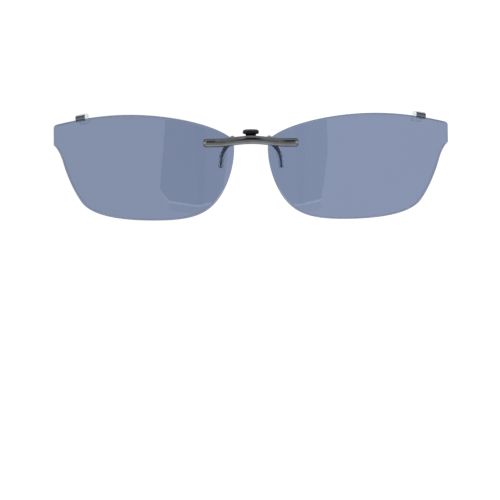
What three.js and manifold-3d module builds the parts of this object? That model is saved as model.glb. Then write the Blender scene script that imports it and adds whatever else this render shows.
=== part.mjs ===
// Clip-on sunglasses: two rimless tinted lenses hung on an arched metal bar, with a pinch clamp
// behind the bar and a sleeved hook on the outer top edge of each lens.
// Millimetres, +Z up, the wearer looks towards -Y; left and right are the wearer's (left is +X).
import * as THREE from 'three';
import { mergeVertices } from 'three/addons/utils/BufferGeometryUtils.js';
import Module from 'manifold-3d';

const wasm = await Module();
wasm.setup();

// ---- driving dimensions. Design origin: middle of the bar, lifted to the row origin at the end ----
const BASE_CURVE_R = 132; // front sphere of both lenses, a 4-base tool
const SPHERE_X = 20.1; // sphere centre out from the middle: lens centre less the face-form offset
const SPHERE_Z = -8.75;
const VERTEX_Y = 1.0; // front pole of the sphere, level with the back of the bar
const LENS_THICK = 1.2;
const LENS_MID = new THREE.Vector2(35, -8.75);
const LENS_RINGS = [0.3, 0.6, 0.82, 1];

const BAR_HALF = 15.7;
const BAR_RISE = 0.95; // how far the middle of the bar arches above its ends
const BAR_ARCH_HALF = 12.5; // the arch runs out here; beyond it the bar is level
const BAR_HIGH = 2.8;
const BAR_BACK_Y = 1.0; // flat back of the bar, which everything is fixed to
const BAR_FRONT_Y = -1.4;
const BAR_END_R = 1.0; // rounding at the ends
const BAR_END_SHARE = 0.4; // size of the end faces, as a share of the section

const SCREW_X = [8.8, 13.2]; // inner and outer lens screw
const SCREW_R = 0.55;
const SCREW_HEAD_R = 1.0;
const SCREW_HEAD = 0.5;
const SCREW_TIP_Y = -0.2;
const BUSH_R = 0.85;
const BUSH_FLANGE_R = 1.1;
const BUSH_FLANGE = [0.55, 0.27]; // thicker at the inner screw, where the lens curves away
const WASHER_R = 1.1;
const WASHER_THICK = 0.2;
const WASHER_Y = [3.14, 2.79]; // front face of the washers, just behind the lens
const SLIP = 0.05; // radial slip fit of screws, bushings and washers

const PIVOT = new THREE.Vector2(4.4, 0.1); // y, z of the hinge pin, which lies along X
const PIN_R = 0.35;
const PIN_HEAD_R = 0.56;
const PIN_HEAD = 0.35;
const PLATE_HALF = 3.9; // bracket back plate, brazed to the bar
const PLATE_Y = [BAR_BACK_Y, 1.6];
const PLATE_Z = [-1.05, 1.05];
const FLOOR_Z = [-1.1, -0.75]; // its underside rests on the bridge of the spectacles
const FLOOR_BACK_Y = 5.4;
const EAR_X = [2.6, 3.2];
const EAR_R = 0.6;
const EAR_SHOULDER = 0.3; // the ears' front slopes up from this far below the pin's axis
const BRACKET_SLIP = 0.02; // round the pin in the ears
const CHEEK_X = [3.3, 3.9]; // lever cheeks, outside the bracket ears
const CHEEK_R = 0.8;
const LEVER_SLIP = 0.04; // round the pin in the cheeks
const ROOF_Y = [4.7, 6.0];
const ROOF_Z = [0.82, 1.14];
const TONGUE_HALF = 1.4;
const TONGUE_THICK = 0.4;
const TONGUE_SHORT = 0.7; // it ends this far from the back of the pad
const TONGUE_GAP = 0.03; // between the tongue and the pad moulded over it

const PAD_WIDE = 5.45;
const PAD_LONG = 3.9;
const PAD_THICK = 1.42;
const PAD_SLOPE = THREE.MathUtils.degToRad(10);
const PAD_FRONT = new THREE.Vector2(3.9, 1.85); // y, z of the lower front edge of the pad
const PAD_CORNER = 0.55; // power of the superellipse that rounds the pad's corners
const NECK_Y = 5.15; // middle of the neck, over the lever's roof
const NECK_WIDE = 3.5;
const NECK_DEEP = 1.7;

const SPRING_R = 0.6;
const SPRING_WIRE_R = 0.15;
const SPRING_HALF = 0.84; // half the coil's length along the pin
const SPRING_START = THREE.MathUtils.degToRad(120); // where the lower leg leaves the coil
const SPRING_SWEEP = THREE.MathUtils.degToRad(1380); // nearly four turns

const PRONG_R = 0.4;
const SLEEVE_R = 0.85;
const SLEEVE_SLIP = 0.03;
const SLEEVE_FROM = 0.62; // part of the prong that stays bare, as a share of its length

const HOOK_X = 57;
const HOOK_EDGE_Z = 7.4; // lens top edge at the hook
const HOOK_TILT = THREE.MathUtils.degToRad(9); // the edge falls outwards
const HOOK_WIDE = 3.3;
const HOOK_THICK = 0.5;
const HOOK_FOOT = 0.6; // how far the foot reaches down behind the lens
const HOOK_RISE = 1.1; // middle of the strip above the lens edge
const HOOK_HEAD_BACK = 1.0; // the strip is full width from its foot to here
const HOOK_TONGUE_WIDE = 1.2; // narrow tongue that carries the sleeve
const HOOK_TONGUE_BACK = 3.0;
const HOOK_SLOPE = 0.04;
const HOOK_SLEEVE_WIDE = 3.6;
const HOOK_SLEEVE_WALL = 0.35;
const HOOK_SLEEVE_FRONT = 1.1;
const HOOK_SLEEVE_BACK = 4.1; // middle of the sleeve's turned-down end
const HOOK_SLEEVE_DROP = -1.5; // its lower end, from the lens edge
const HOOK_BEND = 0.5;
const HOOK_SLEEVE_BEND = 1.0;
const HOOK_GLUE = 0.08; // bond line between the hook foot and the lens

// ---- materials ----
const material = (color, roughness, metalness, opacity = 1) =>
  new THREE.MeshStandardMaterial({ color, roughness, metalness, opacity, transparent: opacity < 1 });
const tint = material(0x7b88a5, 0.08, 0, 0.7);
const gunmetal = material(0x6a6d70, 0.25, 1);
const steel = material(0x9a9c9e, 0.3, 1);
const black = material(0x121214, 0.5, 0);
const clear = material(0xe4eaec, 0.15, 0, 0.4);
const hookMetal = material(0x565c64, 0.35, 1);

// ---- geometry helpers ----
const v3 = (x, y, z) => new THREE.Vector3(x, y, z);
const v2 = (x, y) => new THREE.Vector2(x, y);

function signedVolume(position, index) {
  const a = v3();
  const b = v3();
  const c = v3();
  let sum = 0;
  for (let i = 0; i < index.length; i += 3) {
    a.fromBufferAttribute(position, index[i]);
    b.fromBufferAttribute(position, index[i + 1]);
    c.fromBufferAttribute(position, index[i + 2]);
    sum += a.dot(b.cross(c));
  }
  return sum / 6;
}

// Closed skin over rings of equally many points; each end is a fan about the ring's middle
// or about the point given for it.
function skin(rings, firstTip, lastTip) {
  const n = rings[0].length;
  const points = rings.flat();
  const middle = (ring) => ring.reduce((sum, p) => sum.add(p), v3(0, 0, 0)).divideScalar(n);
  points.push(firstTip ?? middle(rings[0]), lastTip ?? middle(rings.at(-1)));
  const index = [];
  const last = (rings.length - 1) * n;
  for (let i = 0; i < n; i += 1) {
    const j = (i + 1) % n;
    index.push(points.length - 2, j, i);
    index.push(points.length - 1, last + i, last + j);
    for (let r = 0; r + 1 < rings.length; r += 1) {
      const at = r * n;
      index.push(at + i, at + j, at + n + j);
      index.push(at + i, at + n + j, at + n + i);
    }
  }
  const geometry = new THREE.BufferGeometry().setFromPoints(points);
  if (signedVolume(geometry.attributes.position, index) < 0) index.reverse();
  return geometry.setIndex(index);
}

// Round wire along a curve, with slightly rounded ends.
function wire(curve, radius, steps, sides) {
  const frames = curve.computeFrenetFrames(steps, false);
  const rings = [];
  const ringAt = (i, r, shift) =>
    Array.from({ length: sides }, (_, k) => {
      const angle = (k / sides) * 2 * Math.PI;
      return curve
        .getPointAt(i / steps)
        .addScaledVector(frames.tangents[i], shift)
        .addScaledVector(frames.normals[i], r * Math.cos(angle))
        .addScaledVector(frames.binormals[i], r * Math.sin(angle));
    });
  rings.push(ringAt(0, radius * 0.6, -radius * 0.4));
  for (let i = 0; i <= steps; i += 1) rings.push(ringAt(i, radius, 0));
  rings.push(ringAt(steps, radius * 0.6, radius * 0.4));
  return skin(rings);
}

// The part of a curve between two shares of its length.
class CurvePart extends THREE.Curve {
  constructor(curve, from, to) {
    super();
    this.curve = curve;
    this.from = from;
    this.to = to;
  }

  getPoint(t) {
    return this.curve.getPointAt(this.from + (this.to - this.from) * t);
  }
}

function solidOf(geometry) {
  const plain = geometry.clone();
  plain.deleteAttribute('normal');
  plain.deleteAttribute('uv');
  const merged = mergeVertices(plain, 1e-4);
  const vertProperties = new Float32Array(merged.attributes.position.array);
  const triVerts = new Uint32Array(merged.index.array);
  return new wasm.Manifold(new wasm.Mesh({ numProp: 3, vertProperties, triVerts }));
}

function geometryOf(solid) {
  const mesh = solid.getMesh();
  const geometry = new THREE.BufferGeometry();
  geometry.setAttribute('position', new THREE.BufferAttribute(mesh.vertProperties, 3));
  geometry.setIndex(new THREE.BufferAttribute(mesh.triVerts, 1));
  return geometry;
}

const join = (first, ...rest) =>
  geometryOf(rest.reduce((sum, g) => sum.add(solidOf(g)), solidOf(first)));
const cut = (body, ...tools) =>
  geometryOf(tools.reduce((left, g) => left.subtract(solidOf(g)), solidOf(body)));

const box = ([x0, x1], [y0, y1], [z0, z1]) =>
  new THREE.BoxGeometry(x1 - x0, y1 - y0, z1 - z0)
    .translate((x0 + x1) / 2, (y0 + y1) / 2, (z0 + z1) / 2);

// Y-Z outline drawn as a shape, extruded from x0 to x1.
function slab(shape, [x0, x1], curveSegments = 8) {
  const turn = new THREE.Matrix4().makeBasis(v3(0, 1, 0), v3(0, 0, 1), v3(1, 0, 0));
  return new THREE.ExtrudeGeometry(shape, { depth: x1 - x0, bevelEnabled: false, curveSegments })
    .applyMatrix4(turn)
    .translate(x0, 0, 0);
}

// Turned part along Y from a closed [radius, y] profile.
const turnedAlongY = (profile, sides = 14) =>
  new THREE.LatheGeometry(profile.map(([r, y]) => v2(r, y)), sides);

// Round bar along X through the pivot.
const pivotBar = (radius, half, sides = 20) =>
  new THREE.CylinderGeometry(radius, radius, 2 * half, sides)
    .rotateZ(Math.PI / 2)
    .translate(0, PIVOT.x, PIVOT.y);

const mirrorX = (geometry) => {
  const copy = geometry.clone();
  const { position } = copy.attributes;
  for (let i = 0; i < position.count; i += 1) position.setX(i, -position.getX(i));
  const index = copy.index ? Array.from(copy.index.array) : [...Array(position.count).keys()];
  copy.setIndex(index.reverse());
  copy.deleteAttribute('normal');
  copy.deleteAttribute('uv');
  return copy;
};

// ---- the assembly ----
const design = new THREE.Group();

function add(name, geometry, look) {
  const mesh = new THREE.Mesh(geometry, look);
  mesh.name = name;
  design.add(mesh);
}

function addPair(name, geometry, look) {
  add(`left_${name}`, geometry, look);
  add(`right_${name}`, mirrorX(geometry), look);
}

// ---- lenses ----
const frontY = (x, z) =>
  VERTEX_Y + BASE_CURVE_R - Math.sqrt(BASE_CURVE_R ** 2 - (x - SPHERE_X) ** 2 - (z - SPHERE_Z) ** 2);
const backY = (x, z) =>
  VERTEX_Y +
  BASE_CURVE_R -
  Math.sqrt((BASE_CURVE_R - LENS_THICK) ** 2 - (x - SPHERE_X) ** 2 - (z - SPHERE_Z) ** 2);

// Outline of the left lens seen from the front: x outwards, z up.
function lensOutline() {
  const path = new THREE.Path();
  path.moveTo(66, -1.1);
  path.lineTo(66, 4.5);
  path.quadraticCurveTo(66, 5.55, 64.95, 5.8);
  path.bezierCurveTo(57, 7.6, 49.1, 8.7, 40.9, 8.7);
  path.bezierCurveTo(28.5, 8.7, 13.5, 5.85, 7, 1.1);
  path.bezierCurveTo(6.2, 0.5, 5.6, -0.9, 5.55, -2.6);
  path.bezierCurveTo(5.55, -9.25, 8.05, -15.1, 10.05, -18.2);
  path.bezierCurveTo(14.3, -24.8, 20.1, -26.4, 31.6, -26.4);
  path.bezierCurveTo(41.6, -26.4, 52.5, -25.3, 56.4, -20.5);
  path.bezierCurveTo(59, -17.1, 61.2, -12.05, 62.5, -7.9);
  path.bezierCurveTo(63.6, -3.9, 64.8, -2.1, 66, -1.1);
  return path.getPoints(6).slice(0, -1);
}

const barMiddleZ = (x) => {
  const share = Math.min(1, Math.abs(x) / BAR_ARCH_HALF);
  return (-BAR_RISE * (1 - Math.cos(Math.PI * share))) / 2;
};

function lensGeometry() {
  const outline = lensOutline();
  const ring = (scale, depth) =>
    outline.map((p) => {
      const q = p.clone().sub(LENS_MID).multiplyScalar(scale).add(LENS_MID);
      return v3(q.x, depth(q.x, q.y), q.y);
    });
  const rings = LENS_RINGS.map((s) => ring(s, frontY));
  rings.push(...LENS_RINGS.map((s) => ring(s, backY)).reverse());
  const middle = (depth) => v3(LENS_MID.x, depth(LENS_MID.x, LENS_MID.y), LENS_MID.y);
  const blank = skin(rings, middle(frontY), middle(backY));
  const holes = SCREW_X.map((x) =>
    new THREE.CylinderGeometry(BUSH_R + SLIP, BUSH_R + SLIP, 6, 14).translate(x, 3, barMiddleZ(x)));
  return cut(blank, ...holes);
}

addPair('lens', lensGeometry(), tint);

// ---- bridge bar: D section with a flat back, arched, with rounded ends ----
function barSection(x) {
  const inset = Math.max(0, Math.abs(x) - (BAR_HALF - BAR_END_R)) / BAR_END_R;
  const share = 1 - (1 - BAR_END_SHARE) * (1 - Math.sqrt(Math.max(0, 1 - inset ** 2)));
  const half = (BAR_HIGH / 2) * share;
  const front = BAR_FRONT_Y * share;
  const chamfer = Math.min(0.25, half / 2);
  const section = [v2(BAR_BACK_Y - chamfer, half), v2(BAR_BACK_Y, half - chamfer)];
  section.push(v2(BAR_BACK_Y, chamfer - half), v2(BAR_BACK_Y - chamfer, -half));
  for (let k = 0; k <= 8; k += 1) {
    const angle = -Math.PI / 2 + (Math.PI * k) / 8;
    section.push(v2(front * Math.cos(angle), half * Math.sin(angle)));
  }
  return section.map((p) => v3(x, p.x, p.y + barMiddleZ(x)));
}

function barGeometry() {
  const stations = [];
  for (let k = 0; k <= 14; k += 1) stations.push((BAR_HALF - BAR_END_R) * (k / 7 - 1));
  const ends = [0.45, 0.8, 1].map((share) => BAR_HALF - BAR_END_R + BAR_END_R * share);
  const all = [...ends.map((x) => -x).reverse(), ...stations, ...ends];
  const holes = SCREW_X.flatMap((x) => [x, -x]).map((x) =>
    new THREE.CylinderGeometry(SCREW_R + SLIP, SCREW_R + SLIP, 4, 14)
      .translate(x, SCREW_TIP_Y - 0.2 + 2, barMiddleZ(x)));
  return cut(skin(all.map(barSection)), ...holes);
}

add('bridge_bar', barGeometry(), gunmetal);

// ---- lens fixings: screw from behind, washer, lens, flanged bushing, bar ----
function screwGeometry(headY) {
  const top = headY + SCREW_HEAD;
  const profile = [[0, SCREW_TIP_Y], [SCREW_R * 0.7, SCREW_TIP_Y], [SCREW_R, SCREW_TIP_Y + 0.2]];
  profile.push([SCREW_R, headY], [SCREW_HEAD_R, headY], [SCREW_HEAD_R, headY + 0.25]);
  profile.push([SCREW_HEAD_R * 0.75, top - 0.06], [0, top]);
  const slot = box([-1.5, 1.5], [top - 0.2, top + 0.2], [-0.14, 0.14]).rotateY(0.6);
  return cut(turnedAlongY(profile), slot);
}

function washerGeometry(y) {
  const [inner, outer, back] = [SCREW_R + SLIP, WASHER_R, y + WASHER_THICK];
  return turnedAlongY([[inner, y], [outer, y], [outer, back], [inner, back], [inner, y]]);
}

function bushingGeometry(flange, backY) {
  const inner = SCREW_R + SLIP;
  const profile = [[inner, BAR_BACK_Y], [BUSH_FLANGE_R, BAR_BACK_Y]];
  profile.push([BUSH_FLANGE_R, BAR_BACK_Y + flange], [BUSH_R, BAR_BACK_Y + flange]);
  profile.push([BUSH_R, backY], [inner, backY], [inner, BAR_BACK_Y]);
  return turnedAlongY(profile);
}

['inner', 'outer'].forEach((place, i) => {
  const x = SCREW_X[i];
  const z = barMiddleZ(x);
  const washerY = WASHER_Y[i];
  addPair(`${place}_bushing`, bushingGeometry(BUSH_FLANGE[i], washerY).translate(x, 0, z), clear);
  addPair(`${place}_washer`, washerGeometry(washerY).translate(x, 0, z), steel);
  addPair(`${place}_screw`, screwGeometry(washerY + WASHER_THICK).translate(x, 0, z), steel);
});

// ---- clamp bracket on the back of the bar ----
function earShape() {
  const shape = new THREE.Shape();
  shape.moveTo(PLATE_Y[1], FLOOR_Z[0]);
  shape.lineTo(FLOOR_BACK_Y, FLOOR_Z[0]);
  shape.lineTo(FLOOR_BACK_Y, FLOOR_Z[1]);
  shape.lineTo(PIVOT.x + EAR_R, PIVOT.y);
  shape.absarc(PIVOT.x, PIVOT.y, EAR_R, 0, (115 * Math.PI) / 180, false);
  shape.lineTo(PLATE_Y[1] + 1, PIVOT.y - EAR_SHOULDER);
  shape.lineTo(PLATE_Y[1], PIVOT.y - EAR_SHOULDER);
  return shape;
}

function bracketGeometry() {
  const ear = slab(earShape(), EAR_X);
  const plate = box([-PLATE_HALF, PLATE_HALF], PLATE_Y, PLATE_Z);
  const floor = box([-EAR_X[1], EAR_X[1]], [BAR_BACK_Y + 0.2, FLOOR_BACK_Y], FLOOR_Z);
  const whole = join(plate, floor, ear, slab(earShape(), [-EAR_X[1], -EAR_X[0]]));
  return cut(whole, pivotBar(PIN_R + BRACKET_SLIP, 5));
}

add('clamp_bracket', bracketGeometry(), gunmetal);

// ---- hinge pin with a head at one end and a peened rim at the other ----
function pinGeometry() {
  const face = CHEEK_X[1] + 0.05;
  const end = face + PIN_HEAD;
  const profile = [[0, -end], [PIN_HEAD_R * 0.8, -end], [PIN_HEAD_R * 0.9, 0.1 - end]];
  profile.push([PIN_HEAD_R * 0.9, -face], [PIN_R, -face], [PIN_R, face], [PIN_HEAD_R, face]);
  profile.push([PIN_HEAD_R, end - 0.1], [PIN_HEAD_R * 0.8, end], [0, end]);
  return turnedAlongY(profile, 20).rotateZ(-Math.PI / 2).translate(0, PIVOT.x, PIVOT.y);
}

add('hinge_pin', pinGeometry(), steel);

// ---- clamp lever: two cheeks, a roof over the ears and a tongue inside the thumb pad ----
function cheekShape() {
  const shape = new THREE.Shape();
  shape.absarc(PIVOT.x, PIVOT.y, CHEEK_R, (150 * Math.PI) / 180, (340 * Math.PI) / 180, false);
  shape.lineTo(ROOF_Y[1], ROOF_Z[0] - 0.3);
  shape.lineTo(ROOF_Y[1], ROOF_Z[1]);
  shape.lineTo(ROOF_Y[0], ROOF_Z[1]);
  return shape;
}

const padAlong = v2(Math.cos(PAD_SLOPE), Math.sin(PAD_SLOPE));
const padUp = v2(-Math.sin(PAD_SLOPE), Math.cos(PAD_SLOPE));
const padPoint = (along, up) =>
  PAD_FRONT.clone().addScaledVector(padAlong, along).addScaledVector(padUp, up);

function tongueGeometry(gap) {
  const half = TONGUE_THICK / 2 + gap;
  const low = padPoint(0, PAD_THICK / 2);
  const level = low.y + (NECK_Y - low.x) * Math.tan(PAD_SLOPE);
  const end = padPoint(PAD_LONG - TONGUE_SHORT + gap, PAD_THICK / 2);
  const shape = new THREE.Shape();
  shape.moveTo(NECK_Y - half, ROOF_Z[1] - 0.2);
  shape.lineTo(NECK_Y + half, ROOF_Z[1] - 0.2);
  shape.lineTo(NECK_Y + half, level - half);
  shape.lineTo(end.x + padUp.x * -half, end.y - padUp.y * half);
  shape.lineTo(end.x + padUp.x * half, end.y + padUp.y * half);
  shape.lineTo(NECK_Y - half, level + half);
  return slab(shape, [-TONGUE_HALF - gap, TONGUE_HALF + gap]);
}

function leverGeometry() {
  const roof = box([-CHEEK_X[1], CHEEK_X[1]], ROOF_Y, ROOF_Z);
  const cheeks = [CHEEK_X, [-CHEEK_X[1], -CHEEK_X[0]]].map((xs) => slab(cheekShape(), xs, 12));
  return cut(join(roof, ...cheeks, tongueGeometry(0)), pivotBar(PIN_R + LEVER_SLIP, 5));
}

add('clamp_lever', leverGeometry(), gunmetal);

// ---- thumb pad moulded over the tongue: a mushroom head on a narrower neck ----
function roundedRing(wide, long, place) {
  return Array.from({ length: 24 }, (_, k) => {
    const angle = (k / 24) * 2 * Math.PI;
    const [c, s] = [Math.cos(angle), Math.sin(angle)];
    const across = (wide / 2) * Math.sign(c) * Math.abs(c) ** PAD_CORNER;
    return place(across, (long / 2) * Math.sign(s) * Math.abs(s) ** PAD_CORNER);
  });
}

function padHead() {
  const layers = [[0, 0.86], [0.2, 0.97], [0.5, 1], [0.78, 0.93], [1, 0.72]];
  return skin(layers.map(([up, scale]) =>
    roundedRing(PAD_WIDE * scale, PAD_LONG * (1 - (1 - scale) * 0.6), (across, along) => {
      const p = padPoint(PAD_LONG / 2 + along, up * PAD_THICK);
      return v3(across, p.x, p.y);
    })));
}

function padNeck() {
  const levels = [ROOF_Z[1], PAD_FRONT.y + 0.9];
  return skin(levels.map((z) =>
    roundedRing(NECK_WIDE, NECK_DEEP, (across, along) => v3(across, NECK_Y + along, z))));
}

const padWhole = join(padHead(), padNeck());
add('thumb_pad', cut(padWhole, tongueGeometry(TONGUE_GAP)), black);

// ---- torsion spring round the pin: one leg on the bracket floor, one on the lever roof ----
class SpringCurve extends THREE.Curve {
  getPoint(t) {
    const angle = SPRING_START - t * SPRING_SWEEP;
    const y = PIVOT.x + SPRING_R * Math.cos(angle);
    return v3(SPRING_HALF * (1 - 2 * t), y, PIVOT.y + SPRING_R * Math.sin(angle));
  }
}

function springCurve() {
  const coil = new SpringCurve().getPoints(40);
  const drop = coil[0].z - (FLOOR_Z[1] + SPRING_WIRE_R + 0.02);
  const legRun = drop / Math.tan(SPRING_START - Math.PI / 2);
  const lowLeg = [1, 0.5].map((share) =>
    v3(SPRING_HALF, coil[0].y - legRun * share, coil[0].z - drop * share));
  const highLeg = [v3(-SPRING_HALF, PIVOT.x - SPRING_R + 0.03, PIVOT.y + 0.45)];
  highLeg.push(v3(-SPRING_HALF, ROOF_Y[0] - SPRING_WIRE_R - 0.04, (ROOF_Z[0] + ROOF_Z[1]) / 2));
  return new THREE.CatmullRomCurve3([...lowLeg, ...coil, ...highLeg], false, 'centripetal');
}

add('torsion_spring', wire(springCurve(), SPRING_WIRE_R, 70, 5), steel);

// ---- prongs and their clear sleeves ----
const smooth = (points) =>
  new THREE.CatmullRomCurve3(points.map((p) => v3(...p)), false, 'centripetal');

const frontProng = smooth([
  [3.4, PLATE_Y[1] + PRONG_R, -0.4],
  [4.5, 2.4, -0.4],
  [5.6, 3.6, -0.6],
  [6.9, 3.95, -1.5],
  [8.4, 3.95, -3.0],
  [9.6, 3.95, -5.2],
  [10.1, 3.95, -9.0],
]);
const rearProng = smooth([
  [CHEEK_X[1] + PRONG_R, 5.3, 0.65],
  [5.2, 5.3, 0.55],
  [6.1, 5.35, 1.14],
  [7.0, 5.5, 0.5],
  [8.0, 5.8, -1.4],
  [9.2, 5.95, -3.2],
  [9.8, 5.95, -5.4],
  [10.1, 5.95, -9.0],
]);

function addProng(name, curve, bare) {
  addPair(name, wire(curve, PRONG_R, 22, 8), steel);
  const bore = wire(curve, PRONG_R + SLEEVE_SLIP, 22, 8);
  const sleeve = wire(new CurvePart(curve, bare, 1), SLEEVE_R, 9, 10);
  addPair(`${name}_sleeve`, cut(sleeve, bore), clear);
}

addProng('front_prong', frontProng, SLEEVE_FROM);
addProng('rear_prong', rearProng, SLEEVE_FROM);

// ---- outer hooks: short strip bonded behind the lens edge, with a soft turned-down sleeve ----
// Corners of a path replaced by arcs, in a plane of w (backwards) and v (upwards).
function roundCorners(corners, radius) {
  const out = [corners[0]];
  for (let i = 1; i + 1 < corners.length; i += 1) {
    const into = corners[i].clone().sub(corners[i - 1]).normalize();
    const away = corners[i + 1].clone().sub(corners[i]).normalize();
    const from = corners[i].clone().addScaledVector(into, -radius);
    const to = corners[i].clone().addScaledVector(away, radius);
    out.push(...new THREE.QuadraticBezierCurve(from, corners[i], to).getPoints(5));
  }
  out.push(corners.at(-1));
  return out;
}

// Strip of even thickness along a w-v path, its width along X.
function strip(path, thickness, wide) {
  const side = (sign) =>
    path.map((p, i) => {
      const a = path[Math.max(i - 1, 0)];
      const b = path[Math.min(i + 1, path.length - 1)];
      const t = b.clone().sub(a).normalize();
      return v2(p.x - t.y * sign * (thickness / 2), p.y + t.x * sign * (thickness / 2));
    });
  const shape = new THREE.Shape([...side(1), ...side(-1).reverse()]);
  return slab(shape, [-wide / 2, wide / 2]);
}

const hookLean = Math.tan(Math.asin((HOOK_EDGE_Z - SPHERE_Z) / BASE_CURVE_R));
const hookBend = v2(HOOK_THICK / 2 + HOOK_RISE * hookLean, HOOK_RISE);
const tailPoint = (w) => v2(w, HOOK_RISE + (w - hookBend.x) * HOOK_SLOPE);

// Full-width strip from its foot over the bend, with a narrower tongue behind it.
function hookGeometry() {
  const foot = v2(HOOK_THICK / 2 - HOOK_FOOT * hookLean, -HOOK_FOOT);
  const head = roundCorners([foot, hookBend, tailPoint(HOOK_HEAD_BACK)], HOOK_BEND);
  const tongue = [tailPoint(HOOK_HEAD_BACK - 0.1), tailPoint(HOOK_TONGUE_BACK)];
  return join(strip(head, HOOK_THICK, HOOK_WIDE), strip(tongue, HOOK_THICK, HOOK_TONGUE_WIDE));
}

function placeHook(geometry) {
  const yaw = Math.asin((HOOK_X - SPHERE_X) / (BASE_CURVE_R - LENS_THICK));
  return geometry
    .rotateY(HOOK_TILT)
    .rotateZ(yaw)
    .translate(HOOK_X, backY(HOOK_X, HOOK_EDGE_Z) + HOOK_GLUE, HOOK_EDGE_Z);
}

addPair('outer_hook', placeHook(hookGeometry()), hookMetal);

function hookSleeveGeometry() {
  const corners = [tailPoint(HOOK_SLEEVE_FRONT), tailPoint(HOOK_SLEEVE_BACK)];
  const tip = v2(HOOK_SLEEVE_BACK + 0.05, HOOK_SLEEVE_DROP);
  const path = roundCorners([...corners, tip], HOOK_SLEEVE_BEND);
  const tube = strip(path, HOOK_THICK + 2 * HOOK_SLEEVE_WALL, HOOK_SLEEVE_WIDE);
  const pocket = [tailPoint(HOOK_HEAD_BACK), tailPoint(HOOK_TONGUE_BACK + SLEEVE_SLIP)];
  return cut(tube, strip(pocket, HOOK_THICK + 2 * SLEEVE_SLIP, HOOK_TONGUE_WIDE + 2 * SLEEVE_SLIP));
}

addPair('outer_hook_sleeve', placeHook(hookSleeveGeometry()), clear);

// ---- row origin: middle of the underside of the bracket floor ----
design.position.set(0, -(PLATE_Y[1] + FLOOR_BACK_Y) / 2, -FLOOR_Z[0]);
const group = new THREE.Group();
group.add(design);

export default group;
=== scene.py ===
"""Clip-on sunglasses: fine meshes, materials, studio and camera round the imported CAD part."""
import math

import bmesh
import bpy
from mathutils import Matrix, Vector


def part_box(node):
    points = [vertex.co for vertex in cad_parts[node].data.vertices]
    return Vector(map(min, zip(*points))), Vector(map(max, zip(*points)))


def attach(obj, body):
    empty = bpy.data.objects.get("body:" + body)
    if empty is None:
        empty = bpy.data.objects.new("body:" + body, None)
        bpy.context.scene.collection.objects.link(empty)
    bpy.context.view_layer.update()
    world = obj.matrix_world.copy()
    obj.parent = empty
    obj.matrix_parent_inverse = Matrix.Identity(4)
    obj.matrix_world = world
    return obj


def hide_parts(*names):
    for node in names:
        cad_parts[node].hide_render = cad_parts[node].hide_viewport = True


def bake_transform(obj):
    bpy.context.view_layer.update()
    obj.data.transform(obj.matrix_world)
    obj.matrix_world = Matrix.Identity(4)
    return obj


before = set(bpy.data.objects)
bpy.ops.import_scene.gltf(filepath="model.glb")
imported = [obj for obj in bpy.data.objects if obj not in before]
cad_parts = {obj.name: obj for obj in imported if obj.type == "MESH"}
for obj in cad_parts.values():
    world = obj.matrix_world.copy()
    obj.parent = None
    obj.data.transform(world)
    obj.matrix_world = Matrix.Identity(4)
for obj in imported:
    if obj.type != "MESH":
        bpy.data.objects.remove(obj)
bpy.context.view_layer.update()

# ---- the design frame: millimetres from the middle of the bar, as the CAD part is drawn ----
MM = 0.001
BAR_LOW, BAR_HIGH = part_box("bridge_bar")
BAR_HALF = (BAR_HIGH.x - BAR_LOW.x) / 2 / MM
BAR_BACK = 1.0
BAR_FRONT = BAR_BACK - (BAR_HIGH.y - BAR_LOW.y) / MM
BAR_HALF_HIGH = 1.4
ORIGIN = Vector((0, BAR_HIGH.y - BAR_BACK * MM, BAR_HIGH.z - BAR_HALF_HIGH * MM))

BASE_CURVE_R = 132
LENS_THICK = 1.2
SPHERE = Vector((20.1, 133, -8.75))  # centre of curvature of the left lens
LENS_MID = Vector((35, -8.75))  # x and z of the point that the left lens's rings grow from
BAR_RISE = 0.95  # how much higher the bar's middle lies than its ends
BAR_ARCH_HALF = 12.5  # the bar is straight beyond this x
BAR_END_R = 1.0
BAR_END_SHARE = 0.4  # size of the section at the very end of the bar
SCREW_X = (8.8, 13.2)
SCREW_R = 0.55
SCREW_HEAD_R = 1.0
BUSH_R = 0.85
FLANGE_R = 1.1
FLANGE_THICK = {"inner": 0.55, "outer": 0.27}  # fills the gap between flat bar and curved lens
SLIP = 0.05  # clearance round screws and bushings
PIVOT_Y, PIVOT_Z = 4.4, 0.1
PIN_R = 0.35
EAR_IN, EAR_OUT = 2.6, 3.2
CHEEK_IN, CHEEK_OUT = 3.3, 3.9
FLOOR_LOW, FLOOR_TOP, FLOOR_BACK = -1.1, -0.75, 5.4
SPRING_R, SPRING_WIRE = 0.6, 0.15
SPRING_REST_Y, SPRING_REST_Z = 4.51, 0.98  # where the spring's upper leg leans on the lever
PRONG_R = 0.4
PRONG_POINTS = 150
SLEEVE_R = 0.85
SLEEVE_FROM = 0.62  # share of the prong's length that stays bare
SLEEVE_GAP = 0.03
HOOK_X, HOOK_Z = 57, 7.4  # where the hook stands behind the left lens's top edge
HOOK_TILT = math.radians(9)  # follows the slope of that edge
HOOK_WIDE, HOOK_THICK = 3.3, 0.5
HOOK_FOOT, HOOK_RISE, HOOK_SLOPE = 0.6, 1.1, 0.04  # foot below there, bend above, slope of the tail
HOOK_HEAD_BACK, HOOK_TONGUE_BACK, HOOK_TONGUE_WIDE = 1.0, 3.0, 1.2
HOOK_SLEEVE_WIDE, HOOK_SLEEVE_WALL = 3.6, 0.35
HOOK_SLEEVE_FRONT, HOOK_SLEEVE_BACK, HOOK_SLEEVE_DROP = 1.1, 4.1, -1.5


def bar_z(x):
    """Height of the bar's middle line above the design origin."""
    return -BAR_RISE * (1 - math.cos(math.pi * min(1, abs(x) / BAR_ARCH_HALF))) / 2


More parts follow.
